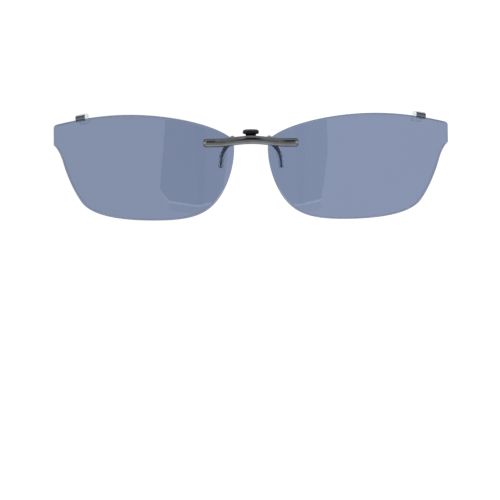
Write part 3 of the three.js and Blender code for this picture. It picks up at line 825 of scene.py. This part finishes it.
def build_spring():
    """Spring between the bracket and the lever, left on no body, its place baked into its mesh."""
    shape = wire(spring_line(), SPRING_WIRE, 12, tip=0.6)
    spring = make_piece("torsion_spring", shape, None, STEEL)
    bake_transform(spring)


# ---- prongs and sleeves ----
FRONT_PRONG = [(3.4, 2.0, -0.4), (4.5, 2.4, -0.4), (5.6, 3.6, -0.6), (6.9, 3.95, -1.5), (8.4, 3.95, -3.0),
               (9.6, 3.95, -5.2), (10.1, 3.95, -9.0)]
REAR_PRONG = [(4.3, 5.3, 0.65), (5.2, 5.3, 0.55), (6.1, 5.35, 1.14), (7.0, 5.5, 0.5), (8.0, 5.8, -1.4),
              (9.2, 5.95, -3.2), (9.8, 5.95, -5.4), (10.1, 5.95, -9.0)]


def sleeve_shape(line, inner, outer):
    """Soft tube closed at its far end, with a rounded lip at its near end."""
    sides, pocket_end, lip_bulge, tip_bulge = 28, 0.18, 0.7, 0.42
    axes = frames_along(line)
    middle, wall = (inner + outer) / 2, (outer - inner) / 2
    rings = [ring_round(line[-1], axes[-1], inner * 0.5, sides, pocket_end)]
    rings += [ring_round(p, f, inner, sides) for p, f in zip(reversed(line), reversed(axes))]
    for a in (math.radians(degrees) for degrees in (30, 60, 90, 120, 150)):
        r = middle - wall * math.cos(a)
        rings.append(ring_round(line[0], axes[0], r, sides, -wall * lip_bulge * math.sin(a)))
    rings += [ring_round(p, f, outer, sides) for p, f in zip(line, axes)]
    for a in (math.radians(degrees) for degrees in (70, 50, 30, 12)):
        r = outer * math.sin(a)
        rings.append(ring_round(line[-1], axes[-1], r, sides, tip_bulge * outer * math.cos(a)))
    return skin(rings)


def braze_collar():
    """Bead of braze that joins a rear prong to the outer face of the lever's cheek."""
    bead = turned([(0, 0), (0.46, 0), (0.45, 0.08), (0.42, 0.2), (PRONG_R, 0.4), (0, 0.4)])
    return laid_along_x(bead, (CHEEK_OUT, *REAR_PRONG[0][1:]))


def build_prong(name, knots, body, side, side_name):
    """Bent wire prong and the soft sleeve on its lower part."""
    node = f"{side_name}_{name}"
    line = resample(centripetal(knots), PRONG_POINTS)
    prong = make_piece(node, mirrored(wire(line, PRONG_R, 24), side), body, STEEL)
    if body == "lever":
        join_on(prong, mirrored(braze_collar(), side))
        prong.data.shade_smooth()
    tail = resample(line[int(SLEEVE_FROM * (PRONG_POINTS - 1)):], 48)
    sleeve = mirrored(sleeve_shape(tail, PRONG_R + SLEEVE_GAP, SLEEVE_R), side)
    make_piece(f"{node}_sleeve", sleeve, body, SILICONE)


# ---- outer hooks ----
def hook_path(corners, radius):
    """Line through corners in the plane of w (back) and v (up), with a curve at each bend."""
    points = [Vector(corners[0])]
    for a, b, c in zip(corners, corners[1:], corners[2:]):
        a, b, c = Vector(a), Vector(b), Vector(c)
        start, end = b + (a - b).normalized() * radius, b + (c - b).normalized() * radius
        for k in range(13):
            t = k / 12
            points.append(start * (1 - t) ** 2 + b * (2 * t * (1 - t)) + end * t * t)
    return points + [Vector(corners[-1])]


LEAN = math.tan(math.asin((HOOK_Z - SPHERE.z) / BASE_CURVE_R))  # slope of the lens where the hook stands
HOOK_BEND = Vector((HOOK_THICK / 2 + HOOK_RISE * LEAN, HOOK_RISE))


def tail_point(w):
    """Point of the hook's tail, which runs back from the bend."""
    return (w, HOOK_RISE + (w - HOOK_BEND.x) * HOOK_SLOPE)


HEAD_CORNERS = [(HOOK_THICK / 2 - HOOK_FOOT * LEAN, -HOOK_FOOT), HOOK_BEND, tail_point(HOOK_HEAD_BACK)]
SLEEVE_CORNERS = [tail_point(HOOK_SLEEVE_FRONT), tail_point(HOOK_SLEEVE_BACK)]
SLEEVE_CORNERS.append((HOOK_SLEEVE_BACK + 0.05, HOOK_SLEEVE_DROP))


def flat_ring(point, along, wide, thick, corner, grow=0.0):
    """Rounded rectangle across a path, wide along X, each side moved out by grow."""
    half_w, half_t = wide / 2 + grow, thick / 2 + grow
    corner = min(corner, half_w * 0.98, half_t * 0.98)
    across = Vector((-along.y, along.x))
    points = []
    for cx, ct, turn in ((1, 1, 0), (-1, 1, 90), (-1, -1, 180), (1, -1, 270)):
        for k in range(6):
            a = math.radians(turn + 18 * k)
            u = cx * (half_w - corner) + corner * math.cos(a)
            t = ct * (half_t - corner) + corner * math.sin(a)
            p = point + across * t
            points.append((u, p.x, p.y))
    return points


def tangents(path):
    """Direction of the path at each of its points."""
    last = len(path) - 1
    return [(path[min(i + 1, last)] - path[max(i - 1, 0)]).normalized() for i in range(last + 1)]


def strip_shape(path, wide, thick, corner):
    """Strip with rounded edges and slightly rounded ends."""
    along = tangents(path)
    ends, full_from = ((0, -0.12), (0.06, -0.03)), 0.14  # how far in from an end, how much smaller
    rings = [flat_ring(path[0] + along[0] * d, along[0], wide, thick, corner, grow) for d, grow in ends]
    inner = list(zip(path, along))
    inner[0] = (path[0] + along[0] * full_from, along[0])
    inner[-1] = (path[-1] - along[-1] * full_from, along[-1])
    rings += [flat_ring(p, t, wide, thick, corner) for p, t in inner]
    for d, grow in reversed(ends):
        rings.append(flat_ring(path[-1] - along[-1] * d, along[-1], wide, thick, corner, grow))
    return skin(rings)


def flat_sleeve_shape(path):
    """Soft flat tip with a pocket for the strip's tongue, open at its near end."""
    along = tangents(path)
    outer_w, outer_t = HOOK_SLEEVE_WIDE, HOOK_THICK + 2 * HOOK_SLEEVE_WALL
    inner_w, inner_t = HOOK_TONGUE_WIDE + 2 * SLEEVE_GAP, HOOK_THICK + 2 * SLEEVE_GAP
    mouth, run = path[0], along[0]
    depth = (HOOK_TONGUE_BACK + SLEEVE_GAP - mouth.x) / run.x
    rings = [flat_ring(mouth + run * depth * k / 4, run, inner_w, inner_t, 0.15) for k in (4, 3, 2, 1, 0)]
    rings.append(flat_ring(mouth, run, inner_w, inner_t, 0.2, 0.06))
    rings.append(flat_ring(mouth, run, outer_w, outer_t, 0.45, -0.06))
    rings.append(flat_ring(mouth + run * 0.03, run, outer_w, outer_t, 0.5, -0.015))
    body = list(zip(path, along))[:-1]
    body[0] = (mouth + run * 0.08, run)
    rings += [flat_ring(p, t, outer_w, outer_t, 0.5) for p, t in body]
    for back, grow in ((0.4, 0.0), (0.22, -0.05), (0.1, -0.14), (0.02, -0.3)):
        rings.append(flat_ring(path[-1] - along[-1] * back, along[-1], outer_w, outer_t, 0.5, grow))
    return skin(rings)


def place_hook(shape):
    """From the hook's own w-v plane to its seat behind the top edge of the left lens."""
    yaw = math.asin((HOOK_X - SPHERE.x) / (BASE_CURVE_R - LENS_THICK))
    turn = Matrix.Rotation(yaw, 3, "Z") @ Matrix.Rotation(HOOK_TILT, 3, "Y")
    seat = Vector((HOOK_X, lens_depth(HOOK_X, HOOK_Z, BASE_CURVE_R - LENS_THICK) + 0.08, HOOK_Z))
    vertices, faces = shape
    return [tuple(turn @ Vector(v) + seat) for v in vertices], faces


def build_hook(side, side_name):
    """Dark strip behind the lens's top edge, its tongue, and the clear tip on the tongue."""
    node = f"{side_name}_outer_hook"
    head = place_hook(strip_shape(hook_path(HEAD_CORNERS, 0.5), HOOK_WIDE, HOOK_THICK, 0.12))
    hook = make_piece(node, mirrored(head, side), "front", HOOK_METAL)
    tongue_line = resample([Vector(tail_point(w)) for w in (HOOK_HEAD_BACK - 0.3, HOOK_TONGUE_BACK)], 8)
    tongue = place_hook(strip_shape(tongue_line, HOOK_TONGUE_WIDE, HOOK_THICK - 0.02, 0.12))
    join_on(hook, mirrored(tongue, side))
    hook.data.shade_smooth()
    sleeve = place_hook(flat_sleeve_shape(hook_path(SLEEVE_CORNERS, 1.0)))
    make_piece(f"{node}_sleeve", mirrored(sleeve, side), "front", HOOK_CLEAR)


# ---- build the object ----
build_bar()
build_bracket()
build_pin()
build_lever()
build_pad()
build_spring()
for side, side_name in ((1, "left"), (-1, "right")):
    build_lens(side, side_name)
    for place, x in zip(("inner", "outer"), SCREW_X):
        build_fixing(place, x, side, side_name)
    build_prong("front_prong", FRONT_PRONG, "front", side, side_name)
    build_prong("rear_prong", REAR_PRONG, "lever", side, side_name)
    build_hook(side, side_name)


# ---- studio: white room, pale floor, and cards that only reflections see ----
# elevation in degrees and how bright the room is there, as reflections see it
ROOM_GLOW = [(-90, 0.8), (-60, 0.75), (-38, 0.38), (-22, 0.45), (-16, 0.98), (14, 0.98), (24, 0.36),
             (60, 0.38), (75, 0.42), (90, 0.46)]


def studio_world():
    """White to the camera, even light on the object, and bright and dim bands in reflections."""
    world = bpy.data.worlds.new("studio")
    bpy.context.scene.world = world
    n = Nodes(world, "ShaderNodeOutputWorld")
    direction = n.add("ShaderNodeSeparateXYZ", {0: n.add("ShaderNodeTexCoord").outputs["Generated"]})
    height = n.math("DEGREES", n.math("ARCSINE", direction.outputs["Z"]))
    glow = n.add("ShaderNodeValToRGB", {0: n.ramp(height, -90, 90, 0, 1)})
    stops = glow.color_ramp.elements
    while len(stops) < len(ROOM_GLOW):
        stops.new(1)
    for stop, (angle, level) in zip(stops, ROOM_GLOW):
        stop.position = (angle + 90) / 180
        stop.color = grey(level)
    behind = n.ramp(direction.outputs["X"], -0.03, 0.03, 1.0, 1.1)
    path = n.add("ShaderNodeLightPath")
    mirrored_room = n.add("ShaderNodeBackground", {"Color": glow.outputs[0]}).outputs[0]
    soft_room = n.add("ShaderNodeBackground", {"Color": grey(1), "Strength": 0.8}).outputs[0]
    white = n.add("ShaderNodeBackground", {"Color": grey(1), "Strength": behind}).outputs[0]
    lit = n.add("ShaderNodeMixShader", {0: path.outputs["Is Glossy Ray"], 1: soft_room, 2: mirrored_room})
    seen = n.add("ShaderNodeMixShader", {0: path.outputs["Is Camera Ray"], 1: lit.outputs[0], 2: white})
    n.finish(seen.outputs[0])


def glow_card(name, outline, depth, level):
    """Flat card facing the object, seen only in reflections; the outline is x, z in millimetres."""
    shape = [(x, depth, z) for x, z in outline], [tuple(range(len(outline)))]
    card = add_to_scene(name, new_mesh(name, shape))
    n = material_nodes(name)
    glow = n.add("ShaderNodeEmission", {"Color": grey(1), "Strength": level}).outputs[0]
    card.data.materials.append(n.finish(glow))
    card.visible_camera = False
    card.visible_diffuse = False
    card.visible_transmission = False
    card.visible_shadow = False


def mirrored_cards():
    """What the lenses and bar mirror: camera board and column, table and its bright edge, a window."""
    board = [(-131, 210), (-140, 51), (-155, -88), (-122, -134), (-15, -151), (75, -132)]
    board += [(99, 33), (99, 210)]
    foot = [(-11, -150), (11, -150), (21, 150), (-21, 150)]
    column = [(-21, 150), (21, 150), (120, 1300), (-120, 1300)]
    edge = [(-150, -105), (-122, -128), (-15, -145), (75, -126), (75, -141), (-15, -160), (-122, -143)]
    table = [(-122, -130), (-15, -147), (75, -128), (75, -172), (-15, -190), (-122, -172)]
    window = [(-75, 700), (-50, 700), (-50, 950), (-75, 950)]
    glow_card("camera_board", board, -600, 0.28)
    glow_card("column_foot", foot, -599, 0.16)
    glow_card("camera_column", column, -598, 0.02)
    glow_card("table_edge", edge, -602, 1.45)
    glow_card("table_front", table, -604, 0.66)
    glow_card("window", window, -596, 2.2)


def studio_floor(height=-0.13, reach=0.9):
    """Pale round floor that fades into the white room."""
    rings, sides = 24, 96
    vertices, faces = [(0, 0, height)], []
    for r in range(1, rings + 1):
        for k in range(sides):
            a = 2 * math.pi * k / sides
            radius = reach * r / rings
            vertices.append((radius * math.cos(a), radius * math.sin(a), height))
    for k in range(sides):
        faces.append((0, 1 + k, 1 + (k + 1) % sides))
    for r in range(rings - 1):
        for k in range(sides):
            a, b = 1 + r * sides, 1 + (r + 1) * sides
            j = (k + 1) % sides
            faces.append((a + k, b + k, b + j, a + j))
    mesh = bpy.data.meshes.new("studio_floor")
    mesh.from_pydata(vertices, [], faces)
    floor = add_to_scene("studio_floor", mesh)
    n = material_nodes("pale_floor")
    place = n.add("ShaderNodeTexCoord").outputs["Object"]
    distance = n.add("ShaderNodeVectorMath", {0: place}, operation="LENGTH").outputs["Value"]
    fade = n.ramp(distance, reach * 0.25, reach * 0.95, 0, 1, smooth=True)
    paper = n.mix_colour(n.noise(60, 4), grey(0.93), grey(0.96))
    pale = n.add("ShaderNodeBsdfDiffuse", {"Color": paper}).outputs[0]
    glow = n.add("ShaderNodeEmission", {"Color": grey(1), "Strength": 0.16}).outputs[0]
    lit = n.add("ShaderNodeAddShader", {0: pale, 1: glow}).outputs[0]
    away = n.add("ShaderNodeBsdfTransparent").outputs[0]
    faded = n.add("ShaderNodeMixShader", {0: fade, 1: lit, 2: away}).outputs[0]
    floor.data.materials.append(n.finish(faded))
    floor.visible_glossy = False


def soft_light(name, place, size, watts):
    """Square lamp aimed at the object, unseen in reflections."""
    data = bpy.data.lights.new(name, "AREA")
    data.shape = "SQUARE"
    data.size = size
    data.energy = watts
    light = add_to_scene(name, data)
    light.visible_glossy = False
    light.location = place
    light.rotation_euler = (-Vector(place)).to_track_quat("-Z", "Y").to_euler()


def photo_camera():
    """Level with the lenses, straight in front, tipped down so that the pair sits high in the frame."""
    distance, frame_wide, aside = 600, 165, -0.6
    tipped_down, rolled = 2.63, -0.5
    data = bpy.data.cameras.new("camera")
    data.sensor_width = 36
    data.lens = data.sensor_width * distance / frame_wide
    data.clip_start, data.clip_end = 0.01, 20
    camera = add_to_scene("camera", data)
    camera.matrix_world = (
        Matrix.Translation(ORIGIN + Vector((aside, -distance, SPHERE.z)) * MM)
        @ Matrix.Rotation(math.radians(90 - tipped_down), 4, "X")
        @ Matrix.Rotation(math.radians(rolled), 4, "Z")
    )
    bpy.context.scene.camera = camera


studio_world()
studio_floor()
mirrored_cards()
soft_light("key", (-0.35, -0.45, 0.55), 0.35, 5)
soft_light("fill", (0.5, 0.1, 0.5), 0.4, 2)
photo_camera()
bpy.context.scene.view_settings.view_transform = "Standard"
